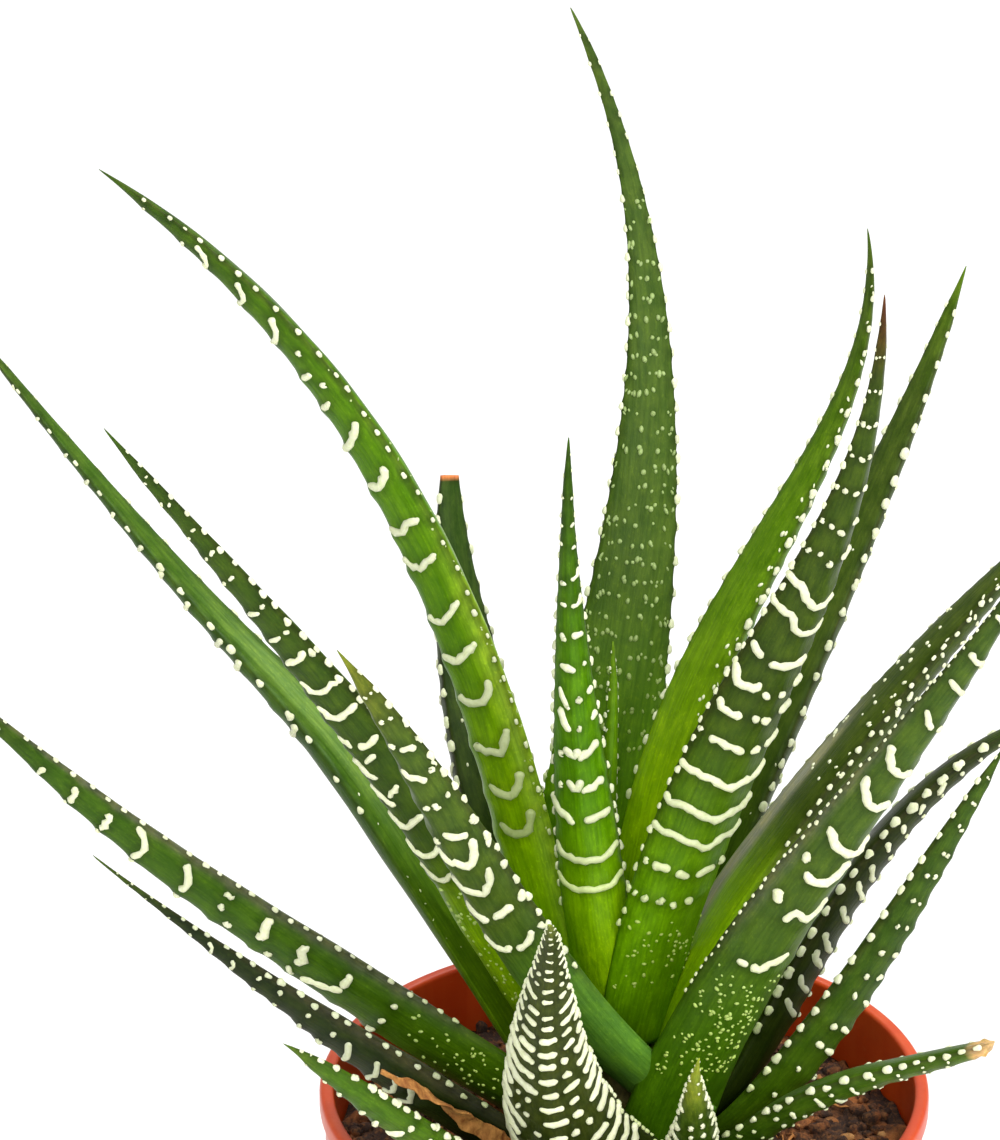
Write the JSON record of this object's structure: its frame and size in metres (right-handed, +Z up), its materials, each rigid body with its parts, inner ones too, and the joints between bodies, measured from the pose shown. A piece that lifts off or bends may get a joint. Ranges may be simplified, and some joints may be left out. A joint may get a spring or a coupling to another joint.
{
  "type": "potted haworthia",
  "caption": "Potted succulent: a rosette of long keeled pointed leaves with raised white bands and dots, on a short stem in soil in a small orange-red plastic pot.",
  "frame": {"origin": "centre of the pot's flat underside, where it stands", "axes": "+Z up along the pot's axis, -Y towards the plant's front, +X to its right as seen from the front"},
  "size_m": [0.1496, 0.1005, 0.2207],
  "materials": {
    "pot": "satin moulded plastic",
    "soil": "crumbly peat potting mix",
    "stem": "dull, ringed with old leaf scars",
    "leaf_bright": "smooth waxy leaf",
    "leaf_green": "smooth waxy leaf",
    "leaf_dark": "smooth waxy leaf",
    "tubercle": "matt cream wart",
    "dry": "shrivelled and papery",
    "grit": "matt crumbs"
  },
  "bodies": {
    "root": {"pot": "pot", "soil": "soil", "stem": "stem", "leaf_heart_small": "leaf_bright", "leaf_heart_front": "leaf_bright", "leaf_right_green": "leaf_bright", "leaf_left_arch": "leaf_bright", "leaf_right_upright": "leaf_green", "leaf_back_tall": "leaf_green", "leaf_back_right": "leaf_dark", "leaf_right_broad": "leaf_green", "leaf_back_cut": "leaf_dark", "leaf_left_front": "leaf_dark", "leaf_left_banded": "leaf_green", "leaf_left_far": "leaf_green", "leaf_back_mid": "leaf_green", "leaf_right_banded": "leaf_green", "leaf_left_low": "leaf_green", "leaf_front_dense": "leaf_dark", "leaf_right_thin": "leaf_dark", "leaf_right_low": "leaf_dark", "leaf_left_thin": "leaf_dark", "leaf_right_low_dry": "leaf_green", "leaf_front_small": "leaf_green", "leaf_front_left_short": "leaf_green", "leaf_back_low": "leaf_green", "leaf_back_low_left": "leaf_dark", "leaf_back_low_right": "leaf_dark", "leaf_front_left_low": "leaf_green", "leaf_front_low": "leaf_dark", "leaf_front_right_low": "leaf_green", "dry_leaf": "dry"}
  },
  "joints": []
}
